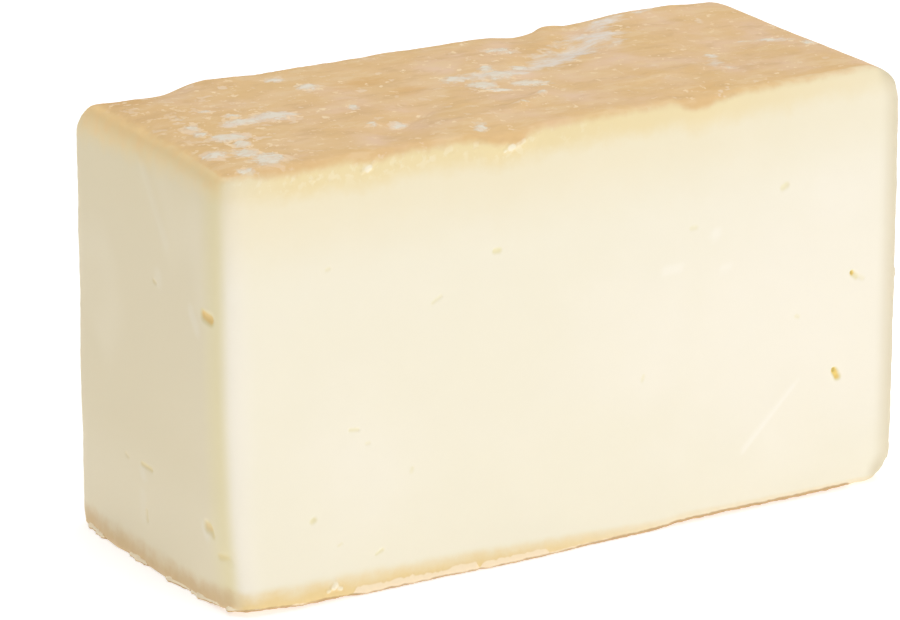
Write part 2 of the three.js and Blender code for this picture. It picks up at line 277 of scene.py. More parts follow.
# Bits of paste that the wire lifted on the front, most of them below the lip.
CRUMBS = [
    {"x": -9.2, "z": 53.0, "length": 1.7, "width": 1.4, "turn": 20, "high": 0.25, "pale": 0.9},
    {"x": -8.0, "z": 53.4, "length": 2.2, "width": 1.3, "turn": 25, "high": 0.15, "pale": 0.6},
    {"x": -10.0, "z": 52.6, "length": 0.9, "width": 0.7, "turn": 60, "high": 0.12, "pale": 0.7},
    {"x": -28.5, "z": 53.1, "length": 1.5, "width": 1.2, "turn": 30, "high": 0.2, "pale": 0.85},
    {"x": -27.8, "z": 53.7, "length": 1.1, "width": 0.9, "turn": 20, "high": 0.12, "pale": 0.55},
    {"x": -29.3, "z": 52.7, "length": 0.8, "width": 0.7, "turn": 0, "high": 0.1, "pale": 0.4},
    {"x": -38.1, "z": 53.2, "length": 1.1, "width": 0.9, "turn": 70, "high": 0.1, "pale": 0.4},
    {"x": -35.6, "z": 52.8, "length": 0.9, "width": 0.7, "turn": 10, "high": 0.08, "pale": 0.3},
    {"x": -33.2, "z": 52.2, "length": 1.3, "width": 0.8, "turn": -10, "high": 0.08, "pale": 0.3},
    {"x": -24.4, "z": 52.9, "length": 0.9, "width": 0.8, "turn": 30, "high": 0.08, "pale": 0.3},
    {"x": -20.8, "z": 53.2, "length": 1.3, "width": 0.8, "turn": -20, "high": 0.08, "pale": 0.3},
    {"x": -17.1, "z": 52.8, "length": 1.2, "width": 1.0, "turn": 10, "high": 0.08, "pale": 0.35},
    {"x": -14.0, "z": 53.3, "length": 0.9, "width": 0.7, "turn": 0, "high": 0.08, "pale": 0.35},
    {"x": -33.6, "z": 1.7, "length": 1.5, "width": 1.1, "turn": 50, "high": 0.3, "pale": 0.9},
    {"x": -32.9, "z": 1.3, "length": 1.2, "width": 0.9, "turn": -20, "high": 0.25, "pale": 0.8},
    {"x": -34.4, "z": 1.2, "length": 0.9, "width": 0.7, "turn": 10, "high": 0.2, "pale": 0.7},
]
MARK_REACH = 0.65  # how far a press for an eye or a crumb reaches, in widths

# Where the mesh is cut finer, and how often: along the lip, along the foot, under the bloom, and
# round eyes and crumbs.
LIP_FINE = {"below_top": 3.5, "behind_cut": 3, "cuts": 1}
FOOT_FINE = {"up_to": 2.4, "behind_cut": 1, "cuts": 2}
BLOOM_FINE = {"below_top": 2, "outside": 0.3, "cuts": 1}
MARK_FINE = {"outside": 0.4, "cuts": 3}

# Torn rind that stands out along the foot of the two cuts: start, end, height and how far out.
END_LEDGES = [
    (12.2, 18.4, 0.45, 0.4),
    (1.4, 7.2, 0.45, 0.4),
    (-8.6, -2.4, 0.4, 0.35),
    (-15.8, -7.8, 0.45, 0.35),
    (-19.8, -16.2, 0.45, 0.3),
]
END_RAGGED = 1.5
FRONT_LEDGES = [
    (-46.5, -33.0, 0.4, 0.2),
    (-31.5, -13.0, 1.2, 0.3),
    (-14.0, -3.0, 1.0, 0.3),
    (-5.0, 9.0, 0.5, 0.2),
    (8.0, 42.0, 0.3, 0.15),
]
FRONT_RAGGED = 0.7
LEDGE_SEED = 11

# The camera of the photograph.
CAMERA_AZIMUTH = math.radians(-30.808)
CAMERA_ELEVATION = math.radians(18.479)
CAMERA_DISTANCE = 648.6 * MM
CAMERA_LENS = 209.76
AIM_RIGHT = -4.955 * MM
AIM_UP = -2.2385 * MM

# Soft lights in metres and watts, and how strongly the floor and the white room glow.
LIGHTS = [
    {"name": "overhead", "place": (0.1, 0.1, 0.9), "aim": (0, 0, 0), "width": 1.0, "power": 5.5},
    {"name": "key", "place": (0.25, -0.98, 0.55), "aim": (0, 0, 0.03), "width": 0.6, "power": 3.5},
]
FLOOR_SIZE = 6
FLOOR_DROP = 0.05  # the floor lies this far below the block
FLOOR_GLOW = 0.58
ROOM_GLOW = 0.315

SMOOTH_ANGLE = math.radians(40)  # edges sharper than this stay sharp


def at(x, y, z):
    """A place in the block's own millimetres, as a point of the frame."""
    return (MIDDLE + Vector((x, y, z))) * MM


def smooth_step(low, high, values):
    """0 at low, 1 at high, smooth between. It falls where low is above high."""
    share = np.clip((np.asarray(values, float) - low) / (high - low), 0, 1)
    return share * share * (3 - 2 * share)


def coordinates(piece):
    """Every vertex of the piece, in metres."""
    found = np.empty(len(piece.data.vertices) * 3)
    piece.data.vertices.foreach_get("co", found)
    return found.reshape(-1, 3)


def block_places(piece):
    """Every vertex of the piece in the block's own millimetres, as three lists."""
    return (coordinates(piece) / MM - np.array(MIDDLE)).T


def face_middles(piece):
    """The middle of every face in the block's own millimetres, as three lists."""
    found = np.empty(len(piece.data.polygons) * 3)
    piece.data.polygons.foreach_get("center", found)
    return (found.reshape(-1, 3) / MM - np.array(MIDDLE)).T


def store(piece, name, values):
    """Keeps one number for every vertex, for the finish to read."""
    kept = piece.data.attributes.get(name) or piece.data.attributes.new(name, "FLOAT", "POINT")
    kept.data.foreach_set("value", np.asarray(values, np.float32))


def weigh(piece, name, weights, steps=20):
    """A vertex group whose weights come from a list, in small steps."""
    group = piece.vertex_groups.new(name=name)
    level = np.round(np.clip(weights, 0, 1) * steps).astype(int)
    for step in range(1, steps + 1):
        group.add(np.nonzero(level == step)[0].tolist(), step / steps, "REPLACE")


def pick(piece, kind, chosen):
    """Enters edit mode with just these vertices or faces selected."""
    bpy.ops.object.mode_set(mode="EDIT")
    bpy.ops.mesh.select_mode(type=kind)
    bpy.ops.mesh.select_all(action="DESELECT")
    bpy.ops.object.mode_set(mode="OBJECT")
    items = piece.data.vertices if kind == "VERT" else piece.data.polygons
    items.foreach_set("select", np.asarray(chosen, bool))
    bpy.ops.object.mode_set(mode="EDIT")


def apply_modifier(piece, kind, **settings):
    """Adds a modifier with these settings and applies it."""
    added = piece.modifiers.new(kind.lower(), kind)
    for name, value in settings.items():
        setattr(added, name, value)
    bpy.ops.object.modifier_apply(modifier=added.name)


# The block

def sharp_block():
    """A cuboid at the block's size and place."""
    bpy.ops.object.select_all(action="DESELECT")
    bpy.ops.mesh.primitive_cube_add(
        size=1, location=at(0, 0, HEIGHT / 2), scale=(LENGTH * MM, DEPTH * MM, HEIGHT * MM)
    )
    block = bpy.context.object
    block.name = "cheese"
    block.data.name = "cheese"
    bpy.ops.object.transform_apply(location=True, rotation=True, scale=True)
    return block


def round_edges(block):
    """Rounds the edges between two faces of rind, and the upright edge between the two cuts."""
    faces = {
        "left": (0, LEFT),
        "right": (0, RIGHT),
        "front": (1, FRONT),
        "back": (1, BACK),
        "bottom": (2, 0),
        "top": (2, HEIGHT),
    }
    places = np.array(block_places(block))
    mesh = block.data
    weights = mesh.attributes.new("bevel_weight_edge", "FLOAT", "EDGE")
    for edge, weight in zip(mesh.edges, weights.data):
        ends = places[:, list(edge.vertices)]
        lies_in = {
            face for face, (axis, level) in faces.items() if np.allclose(ends[axis], level, atol=0.01)
        }
        pairs = [pair for pair in EDGE_ROUNDS if set(pair) <= lies_in]
        weight.value = EDGE_ROUNDS[pairs[0]] / WIDEST_ROUND if pairs else 0
    apply_modifier(
        block, "BEVEL", width=WIDEST_ROUND * MM, segments=EDGE_SEGMENTS, limit_method="WEIGHT"
    )


def remesh(block):
    """Turns the block into an even mesh that can be pressed anywhere."""
    block.data.remesh_voxel_size = VOXEL * MM
    bpy.ops.object.voxel_remesh()


def middle_line(mark):
    """The two ends of the middle line of an eye or a crumb, and the direction into the paste."""
    half = max(mark["length"] - mark["width"], 0.05) / 2
    run = half * math.cos(math.radians(mark["turn"]))
    rise = half * math.sin(math.radians(mark["turn"]))
    if "x" in mark:
        start = (mark["x"] - run, FRONT, mark["z"] - rise)
        end = (mark["x"] + run, FRONT, mark["z"] + rise)
        return start, end, Vector((0, 1, 0))
    start = (LEFT, mark["y"] - run, mark["z"] - rise)
    end = (LEFT, mark["y"] + run, mark["z"] + rise)
    return start, end, Vector((1, 0, 0))


def distance_to(stretch_start, stretch_end, x, y, z):
    """How far each place lies from a stretch, in millimetres."""
    start, end = np.array(stretch_start, float), np.array(stretch_end, float)
    along = end - start
    places = np.stack([x, y, z], axis=1)
    share = np.clip(((places - start) @ along) / max(along @ along, 1e-9), 0, 1)
    return np.linalg.norm(places - start - share[:, None] * along, axis=1)


def wear_rims(block):
    """Smooths the rims of the two cuts until they are as round as wear has left them."""
    x, y, z = block_places(block)
    widest = max(radius for _, _, radius in RIMS)
    wear = np.zeros(x.shape)
    for start, end, radius in RIMS:
        reach = distance_to(start, end, x, y, z) / radius
        fade = smooth_step(2 * WEAR_REACH, WEAR_REACH, reach)
        wear = np.maximum(wear, (radius / widest) ** 2 * fade)
    weigh(block, "wear", wear)
    apply_modifier(block, "SMOOTH", factor=0.5, iterations=WEAR_PASSES, vertex_group="wear")


def behind_cuts(x, y):
    """How far each place lies behind the nearer cut, or behind the round edge between the two."""
    from_left, from_front = x - LEFT, y - FRONT
    corner = np.hypot(np.maximum(NEAR_ROUND - from_left, 0), np.maximum(NEAR_ROUND - from_front, 0))
    return np.minimum(np.minimum(from_left, from_front), NEAR_ROUND - corner)


def front_share(x, y):
    """1 on the front cut, 0 on the cut end, with a soft change round the near edge."""
    return smooth_step(-1.9, 1, (x - LEFT) - (y - FRONT))


def rind_lap(x, y):
    """How far the rind comes down over the cuts at each place along them."""
    front = FRONT_LAP_RIGHT + (FRONT_LAP_LEFT - FRONT_LAP_RIGHT) * smooth_step(4, -4, x)
    front = front + (FRONT_LAP_FAR - FRONT_LAP_RIGHT) * smooth_step(22, 44, x)
    for tongue in TONGUES:
        front = front + tongue["reach"] * smooth_step(1, 0.3, abs(x - tongue["x"]) / tongue["half"])
    share = front_share(x, y)
    end = END_LAP_NEAR + (END_LAP_FAR - END_LAP_NEAR) * smooth_step(FRONT, BACK, y)
    return front * share + end * (1 - share)


def foot_band(x, y, z):
    """The tan band at the foot of the cuts, from 1 at the floor to 0 at its upper edge."""
    share = front_share(x, y)
    front = np.interp(x, *zip(*FRONT_FOOT))
    return np.clip(1 - z / (front * share + END_FOOT * (1 - share)), 0, 1)


def above_foot_line(x, y, z):
    """How far each place lies above the brown line at the very foot."""
    share = front_share(x, y)
    front = FRONT_LINE_LEFT + (FRONT_LINE_RIGHT - FRONT_LINE_LEFT) * smooth_step(-6, 14, x)
    fades_out = smooth_step(RIGHT - 7, RIGHT - 4, x)
    return z - front * share - END_LINE * (1 - share) + fades_out


def ragged(run, spacing, draw):
    """A ragged line along the foot, between 0 and 1, with a corner at every spacing."""
    corners = np.arange(run.min() - spacing, run.max() + 2 * spacing, spacing)
    return np.interp(run, corners, draw.random(len(corners)))


def ledge_field(run, z, ledges, unevenness):
    """How far the torn rind stands out along one cut's foot, in millimetres, and its upper edge."""
    draw = np.random.default_rng(LEDGE_SEED)
    coarse = ragged(run, 2.2, draw)
    fine = ragged(run, 0.4, draw)
    field = np.zeros(run.shape)
    thread = np.zeros(run.shape)
    for start, end, tall, out in ledges:
        inside = smooth_step(start, start + 1.2, run) * smooth_step(end, end - 1.2, run)
        top = tall * inside * (1 + 0.7 * (0.65 * coarse + 0.35 * fine - 0.5)) + 0.02
        slope = np.clip(1.5 * (1 - z / top), 0, 1) * inside
        field = np.maximum(field, out * slope * (1 + unevenness * (0.5 * coarse + 0.5 * fine - 0.5)))
        # The thread is a band along each ledge's upper edge: pale torn rind painted only where the edge
        # catches the light, partly a painted highlight, while the foot's darker colours below stand for
        # the shadow under the ledge.
        edge = smooth_step(0.25, 0.5, z / top) * smooth_step(1.3, 0.95, z / top)
        thread = np.maximum(thread, edge * smooth_step(0.2, 0.6, inside))
    return field, thread


def torn_rind(x, y, z):
    """How far the torn rind stands out to the left and to the front, and its threads on the left."""
    share = front_share(x, y)
    at_rim = smooth_step(1, 0.4, behind_cuts(x, y))
    to_left, thread = ledge_field(y, z, END_LEDGES, END_RAGGED)
    to_front, _ = ledge_field(x, z, FRONT_LEDGES, FRONT_RAGGED)
    on_end = (1 - share) * at_rim
    return to_left * on_end, to_front * share * at_rim, thread * on_end


def crumbly_paste(x, y, z):
    """1 where the paste below the front's lip came off in crumbs, mostly on the left."""
    below_lip = HEIGHT - z - rind_lap(x, y)
    band = smooth_step(-0.4, 0.4, below_lip) * smooth_step(3.2, 1.2, below_lip)
    return band * smooth_step(12, -8, x) * front_share(x, y) * smooth_step(1, 0.4, behind_cuts(x, y))


def right_rim(x, z):
    """1 at the front's right rim, with its two round corners, and 0 a few millimetres inside it."""
    corner = 4
    across = np.maximum(x - (RIGHT - corner), 0)
    along = np.maximum(np.maximum(corner - z, z - (HEIGHT - corner)), 0)
    inside = corner - np.hypot(across, along)
    reach = 3.6 + 0.6 * np.maximum(corner - z, 0)
    return smooth_step(reach, 0.2, inside) * smooth_step(0, 2, across)


def bloom_field(x, y):
    """How deep each place of the top lies inside a patch of bloom: 1 at its middle, 0 at its rim."""
    cosine, sine = math.cos(SIGHT_TURN), math.sin(SIGHT_TURN)
    field = np.full(x.shape, -1.0)
    for (spot_x, spot_y), across, deep, strength in BLOOM:
        dx, dy = x - spot_x, y - spot_y
        side = (dx * cosine + dy * sine) / (across / 2)
        away = (dy * cosine - dx * sine) / (deep / 2)
        field = np.maximum(field, strength - np.hypot(side, away))
    return field


def smear_field(x, y):
    """How deep each place of the top lies inside a smear: its strength at the middle, 0 at its rim."""
    flat = np.zeros(x.shape)
    field = np.full(x.shape, -1.0)
    for start, end, width, strength in SMEARS:
        reach = distance_to((*start, 0), (*end, 0), x, y, flat) / (width / 2)
        field = np.maximum(field, strength - reach)
    return field


def soft_fields(fields, along, across):
    """How deep each place lies inside a soft field: its strength at the middle, 0 at its rim."""
    found = np.zeros(along.shape)
    for middle_along, middle_across, half_along, half_across, strength in fields:
        reach = np.hypot((along - middle_along) / half_along, (across - middle_across) / half_across)
        found = np.maximum(found, strength * smooth_step(1, 0, reach))
    return found


def hidden_bloom_field(x, y, z):
    """Patches of bloom over the rind that faces away, drawn once with a fixed seed."""
    draw = np.random.default_rng(HIDDEN_BLOOM["seed"])
    field = np.full(x.shape, -1.0)
    for _ in range(HIDDEN_BLOOM["count"]):
        on_back = draw.random() < 0.7
        along = draw.uniform(LEFT, RIGHT) if on_back else draw.uniform(FRONT, BACK)
        up = draw.uniform(0, HEIGHT)
        half = draw.uniform(HIDDEN_BLOOM["smallest"], HIDDEN_BLOOM["largest"]) / 2
        flat = draw.uniform(0.4, 1)
        run = x if on_back else y
        depth = (BACK - y) if on_back else (RIGHT - x)
        reach = np.hypot((run - along) / half, (z - up) / (half * flat))
        field = np.maximum(field, draw.uniform(0.6, 1) - reach - depth / 2)
    return field


def mark_field(marks, tone, x, y, z):
    """How strongly each place shows an eye or a crumb: its tone along the middle, 0 beyond the rim."""
    field = np.zeros(x.shape)
    for mark in marks:
        start, end, _ = middle_line(mark)
        reach = distance_to(start, end, x, y, z) / (mark["width"] / 2)
        field = np.maximum(field, mark.get(tone, 1) * smooth_step(1.25, 0.3, reach))
    return field


def cut_finer(block, chosen, cuts):
    """Cuts the chosen faces into smaller ones."""
    pick(block, "FACE", chosen)
    bpy.ops.mesh.subdivide(number_cuts=cuts)
    bpy.ops.object.mode_set(mode="OBJECT")


def refine(block):
    """Makes the mesh finer along the lip, along the foot, under the bloom, and round eyes and crumbs."""
    x, y, z = face_middles(block)
    at_lip = (z > HEIGHT - LIP_FINE["below_top"]) & (behind_cuts(x, y) < LIP_FINE["behind_cut"])
    cut_finer(block, at_lip, LIP_FINE["cuts"])
    x, y, z = face_middles(block)
    at_foot = (z < FOOT_FINE["up_to"]) & (behind_cuts(x, y) < FOOT_FINE["behind_cut"])
    cut_finer(block, at_foot, FOOT_FINE["cuts"])
    x, y, z = face_middles(block)
    under_bloom = (z > HEIGHT - BLOOM_FINE["below_top"]) & (bloom_field(x, y) > -BLOOM_FINE["outside"])
    cut_finer(block, under_bloom, BLOOM_FINE["cuts"])
    x, y, z = face_middles(block)
    marked = np.zeros(len(x), bool)
    for mark in FRONT_EYES + END_EYES + CRUMBS:
        start, end, _ = middle_line(mark)
        marked |= distance_to(start, end, x, y, z) < mark["width"] / 2 + MARK_FINE["outside"]
    cut_finer(block, marked, MARK_FINE["cuts"])


def remember_places(block):
    """Keeps, before anything is pressed, how each vertex lies to rind, foot, bloom and marks."""
    x, y, z = block_places(block)
    share = front_share(x, y)
    soft = FRONT_LAP_SOFT * share + END_LAP_SOFT * (1 - share)
    below_lip = HEIGHT - z - rind_lap(x, y)
    near_cut = behind_cuts(x, y)
    store(block, "lip", np.minimum(below_lip / soft, (RIND_FROM_CUT - near_cut) / 0.4))
    store(block, "under", below_lip)
    # The darker cream at the front's right rim is partly the paste under the right end's rind and partly
    # painted shade where the rim turns from the light.
    store(block, "side", right_rim(x, z) * share)
    store(block, "crumbly", crumbly_paste(x, y, z))
    store(block, "end", 1 - share)
    store(block, "foot", foot_band(x, y, z))
    store(block, "foot_line", above_foot_line(x, y, z))
    _, to_front, thread = torn_rind(x, y, z)
    # The threads: pale torn rind on the end's ledges, painted only along their upper edge, partly a
    # painted highlight.
    store(block, "thread", thread)
    store(block, "front_ledge", to_front)
    golden = np.maximum(smooth_step(9, 1, near_cut), smooth_step(28, 6, x - LEFT))
    store(block, "golden", np.maximum(golden, smooth_step(12, 3, BACK - y)))
    on_top = z > HEIGHT - 4
    store(block, "bloom", np.where(on_top, bloom_field(x, y), hidden_bloom_field(x, y, z)))
    store(block, "smear", np.where(on_top, smear_field(x, y), -1))
    store(block, "eye", mark_field(FRONT_EYES + END_EYES, "tone", x, y, z))
    store(block, "crumb", mark_field(CRUMBS, "pale", x, y, z))
    store(block, "smudge", mark_field(SMUDGES, "pale", x, y, z))
    # Painted highlight: a paler band along the near upright edge of the front, where the rounded edge
    # catches the light.
    near_edge_highlight = 0.9 * smooth_step(5, 1, x - LEFT)
    # The pale fields are partly the paste's own paler tone and partly painted light.
    store(block, "pale", np.maximum(soft_fields(PALE_AND_LIT_FIELDS, x, z), near_edge_highlight) * share)
    store(block, "rust", soft_fields(RUST_FIELDS, x, y) * on_top)
    # How far each vertex faces left, so that the finish can paint the rind lighter where it turns into
    # the end's shade.
    facing = np.empty(len(x) * 3)
    block.data.vertices.foreach_get("normal", facing)
    store(block, "left_facing", np.clip(-facing[::3], 0, 1))


def press(block, start, end, radius, push):
    """Moves what lies round a stretch of the surface, softly out to the radius."""
    start, end = np.array(at(*start)), np.array(at(*end))
    count = 2 + int(np.linalg.norm(end - start) / (PRESS_STEP * MM))
    places = coordinates(block)
    chosen = np.zeros(len(places), bool)
    for share in np.linspace(0, 1, count):
        gap = places - (start + (end - start) * share)
        chosen[np.einsum("ij,ij->i", gap, gap).argmin()] = True
    pick(block, "VERT", chosen)
    bpy.ops.transform.translate(
        value=Vector(push) * MM,
        use_proportional_edit=True,
        proportional_edit_falloff="SMOOTH",
        proportional_size=radius * MM,
    )
    bpy.ops.object.mode_set(mode="OBJECT")


def mark_cuts(block):
    """Presses every eye into its cut and lifts every crumb out of it."""
    for eye in FRONT_EYES + END_EYES:
        start, end, inward = middle_line(eye)
        press(block, start, end, MARK_REACH * eye["width"], inward * eye["deep"])
    for crumb in CRUMBS:
        start, end, inward = middle_line(crumb)
        press(block, start, end, MARK_REACH * crumb["width"], -inward * crumb["high"])


def clouds(name, size, depth=2, hard=False):
    """A soft or creased noise to raise a surface by."""
    texture = bpy.data.textures.new(name, "CLOUDS")
    texture.noise_scale = size * MM
    texture.noise_depth = depth
    texture.noise_type = "HARD_NOISE" if hard else "SOFT_NOISE"
    return texture


def stand_out(block, to_left, to_front):
    """Lets the torn rind stand out along the foot of both cuts."""
    for name, axis, field in (("left ledge", "X", to_left), ("front ledge", "Y", to_front)):
        furthest = field.max()
        weigh(block, name, field / furthest, steps=40)
        apply_modifier(
            block, "DISPLACE", vertex_group=name, direction=axis, strength=-furthest * MM, mid_level=0
        )


def raise_bloom(block):
    """Lets the patches of bloom stand on the rind as thin flakes."""
    x, y, z = block_places(block)
    field = np.where(z > HEIGHT - 3, bloom_field(x, y), hidden_bloom_field(x, y, z))
    weigh(block, "flakes", smooth_step(-0.1, 0.25, field))
    apply_modifier(block, "DISPLACE", vertex_group="flakes", strength=BLOOM_HIGH * MM, mid_level=0)


def settle(block):
    """Flattens on the floor whatever reached below it."""
    pick(block, "VERT", coordinates(block)[:, 2] < 0)
    bpy.ops.transform.resize(value=(1, 1, 0), center_override=(0, 0, 0))
    bpy.ops.object.mode_set(mode="OBJECT")


def raise_by(block, texture, group, height, middle=0.5, stretch=1):
    """Raises and sinks the weighed part of the surface by a noise, drawn out along the block."""
    ruler = bpy.data.objects.new("ruler", None)
    bpy.context.scene.collection.objects.link(ruler)
    ruler.scale = (stretch, 1, 1)
    bpy.context.view_layer.update()
    apply_modifier(
        block,
        "DISPLACE",
        texture=texture,
        texture_coords="OBJECT",
        texture_coords_object=ruler,
        vertex_group=group,
        strength=height * MM,
        mid_level=middle,
    )
    bpy.data.objects.remove(ruler)


def roughen(block):
    """Gives the rind its swells, creases and grain, the cuts a slight wave, and the foot its tear."""
    x, y, z = block_places(block)
    depth = np.minimum(HEIGHT - z, np.minimum(BACK - y, RIGHT - x))
    off_floor = smooth_step(0.8, 4, z)
    near_cut = behind_cuts(x, y)
    torn = smooth_step(2.2, 0.4, z) * smooth_step(2.5, 0.6, near_cut) * smooth_step(-0.1, 0.3, z)
    weigh(block, "rind", smooth_step(1.2, 0, depth) * off_floor)
    weigh(block, "cut", smooth_step(1, 4, depth) * off_floor)
    weigh(block, "torn", torn)
    weigh(block, "crumbly", crumbly_paste(x, y, z))
    raise_by(block, clouds("rind swell", 9), "rind", 0.3)
    raise_by(block, clouds("rind crease", 2.6, hard=True), "rind", -0.14, middle=0.35, stretch=2)
    raise_by(block, clouds("rind grain", 0.9, depth=1), "rind", 0.1)
    raise_by(block, clouds("cut wave", 20, depth=1), "cut", 0.2)
    raise_by(block, clouds("torn foot", 1.1, depth=3), "torn", 0.3)
    raise_by(block, clouds("crumbly paste", 0.9, depth=2), "crumbly", 0.16)


# Finishes

def srgb(red, green, blue):
    """A colour as seen on a screen, as the shader takes it."""
    def linear(value):
        value = value / 255
        return value / 12.92 if value <= 0.04045 else ((value + 0.055) / 1.055) ** 2.4

    return (linear(red), linear(green), linear(blue), 1)


class Finish:
    """A material whose nodes are added one at a time and linked as they come."""

    def __init__(self, name):
        self.material = bpy.data.materials.new(name)
        self.material.use_nodes = True
        self.tree = self.material.node_tree
        self.surface = self.tree.nodes["Principled BSDF"]
        self.place = self.node("ShaderNodeTexCoord").outputs["Object"]

    def node(self, kind, inputs=None, **settings):
        made = self.tree.nodes.new(kind)
        for name, value in settings.items():
            setattr(made, name, value)
        for socket, value in (inputs or {}).items():
            self.feed(made.inputs[socket], value)
        return made

    def feed(self, socket, value):
        if isinstance(value, bpy.types.NodeSocket):
            self.tree.links.new(value, socket)
        else:
            socket.default_value = value

    def kept(self, name):
        """A number that the mesh keeps for every vertex."""
        return self.node("ShaderNodeAttribute", attribute_name=name).outputs["Fac"]

    def noise(self, size, detail=3, roughness=0.5, shift=0, stretch=1):
        """Noise with features of about this size in millimetres, drawn out along the block, 0 to 1."""
        drawn = self.node(
            "ShaderNodeMapping",
            {"Vector": self.place, "Location": (shift, shift, shift), "Scale": (1 / stretch, 1, 1)},
        )
        made = self.node(
            "ShaderNodeTexNoise",
            {
                "Vector": drawn.outputs["Vector"],
                "Scale": 1 / (size * MM),
                "Detail": detail,
                "Roughness": roughness,
            },
        )
        return made.outputs["Fac"]

    def swing(self, size, height, **settings):
        """Noise that swings about 0, up to this height."""
        return self.times(self.sum(self.noise(size, **settings), -0.5), 2 * height)

    def sum(self, first, second):
        return self.node("ShaderNodeMath", {0: first, 1: second}, operation="ADD").outputs[0]

    def times(self, first, second):
        return self.node("ShaderNodeMath", {0: first, 1: second}, operation="MULTIPLY").outputs[0]

    def step(self, value, low, high):
        """0 below low, 1 above high, smooth between. It falls where low is above high."""
        made = self.node(
            "ShaderNodeMapRange",
            {"Value": value, "From Min": min(low, high), "From Max": max(low, high)},
            interpolation_type="SMOOTHSTEP",
        )
        if low > high:
            made.inputs["To Min"].default_value = 1
            made.inputs["To Max"].default_value = 0
        return made.outputs["Result"]

    def blend(self, amount, first, second):
        """From the first colour to the second by the amount."""
        made = self.node("ShaderNodeMix", data_type="RGBA")
        self.feed(made.inputs[0], amount)
        self.feed(made.inputs[6], first)
        self.feed(made.inputs[7], second)
        return made.outputs[2]

    def coordinate(self, axis):
        """The place along one axis, in millimetres."""
        split = self.node("ShaderNodeSeparateXYZ", {"Vector": self.place})
        return self.times(split.outputs[axis], 1 / MM)


PASTE = srgb(245, 237, 214)
# The paler cream serves the pale fields, partly painted light, and the painted highlight along the near
# upright edge.
PASTE_PALE_AND_LIT = srgb(249, 241, 223)
# The cut end's paste colours are painted yellower and warmer than the front's: painted warm shade for the
# end, which faces away from the key light.
PASTE_END_WARM_SHADE = srgb(240, 226, 191)
PASTE_END_PALE_WARM_SHADE = srgb(245, 232, 200)
PASTE_END_NEAR_WARM_SHADE = srgb(245, 232, 188)
UNDER_RIND = srgb(239, 219, 168)
UNDER_RIND_END = srgb(253, 226, 166)
# Darker cream for the front's right rim: partly the paste under the rind, partly painted shade.
SIDE_CREAM_AND_SHADE = srgb(219, 205, 172)
RIND_TAN = srgb(235, 203, 161)
RIND_PINK = srgb(236, 204, 176)
RIND_RUST = srgb(224, 180, 118)
RIND_GOLD = srgb(227, 189, 131)
RIND_BROWN = srgb(212, 173, 122)
RIND_LIGHT = srgb(236, 206, 161)
RIND_FLECK = srgb(247, 222, 184)
RIND_FLAKE = srgb(238, 212, 180)
# A lighter, golden rind for the rind that faces left: partly the rim's own golden tone, partly painted
# light against the end's shade.
RIND_PAINTED_LIGHT_LEFT = srgb(255, 219, 158)
BLOOM_THIN = srgb(224, 205, 182)
BLOOM_THICK = srgb(234, 225, 207)
BLOOM_SMEAR = srgb(234, 226, 217)
FOOT_YELLOW = srgb(237, 209, 148)
FOOT_TAN = srgb(229, 200, 152)
FOOT_BROWN_AND_SHADOW = srgb(198, 161, 112)
LEDGE_FRONT = srgb(252, 232, 199)
# The end's threads are as pale as they go: pale torn rind, partly a painted highlight.
LEDGE_END_AND_HIGHLIGHT = srgb(255, 241, 212)
EYE_FAINT = srgb(229, 217, 144)
EYE_GOLD = srgb(236, 207, 118)
EYE_END = srgb(243, 207, 128)
EYE_END_FAINT = srgb(238, 216, 140)
# Darker olive for the upper ends of some eyes: painted shade in their hollows.
EYE_OLIVE_SHADE = srgb(204, 180, 98)
CRUMB_PALE = srgb(251, 241, 217)
SMUDGE_PALE = srgb(255, 249, 236)


def rind_skin(finish):
    """Tan skin with pinker, more golden and redder fields, mottled."""
    fields = finish.sum(finish.noise(14, 2), finish.times(finish.coordinate("X"), 0.002))
    colour = finish.blend(finish.step(fields, 0.36, 0.58), RIND_TAN, RIND_PINK)
    golden = finish.sum(finish.kept("golden"), finish.swing(7, 0.6, detail=3, shift=0.3))
    colour = finish.blend(finish.times(finish.step(golden, 0.4, 1.05), 0.9), colour, RIND_GOLD)
    rust = finish.sum(finish.kept("rust"), finish.swing(3, 0.5, shift=14.9, stretch=2))
    colour = finish.blend(finish.times(finish.step(rust, 0.2, 1), 0.75), colour, RIND_RUST)
    mottle = finish.noise(2.6, 3, 0.65, shift=0.7, stretch=2.2)
    colour = finish.blend(finish.times(finish.step(mottle, 0.48, 0.3), 0.45), colour, RIND_BROWN)
    return finish.blend(finish.times(finish.step(mottle, 0.5, 0.66), 0.55), colour, RIND_LIGHT)


def flecked(finish, colour):
    """The skin given, with pale flecks and flakes, more of them beside the bloom and on the left."""
    crowd = finish.step(finish.noise(9, 2, shift=6.1), 0.4, 0.65)
    beside_bloom = finish.times(finish.step(finish.kept("bloom"), -1, -0.1), 0.11)
    more = finish.sum(beside_bloom, finish.times(finish.step(finish.coordinate("X"), -24, -38), 0.035))
    fleck = finish.sum(finish.noise(1.4, 3, 0.6, shift=1.1, stretch=0.9), more)
    inside = finish.step(finish.kept("lip"), -0.6, -2.5)
    fleck = finish.times(finish.step(fleck, 0.61, 0.67), finish.sum(finish.times(crowd, 0.45), 0.45))
    fleck = finish.times(fleck, inside)
    colour = finish.blend(fleck, colour, RIND_FLECK)
    flake = finish.sum(finish.noise(2.4, 3, 0.6, shift=11.7), more)
    flake = finish.step(flake, 0.63, 0.69)
    flake = finish.times(flake, finish.sum(finish.times(crowd, 0.4), 0.45))
    return finish.blend(flake, colour, RIND_FLAKE)


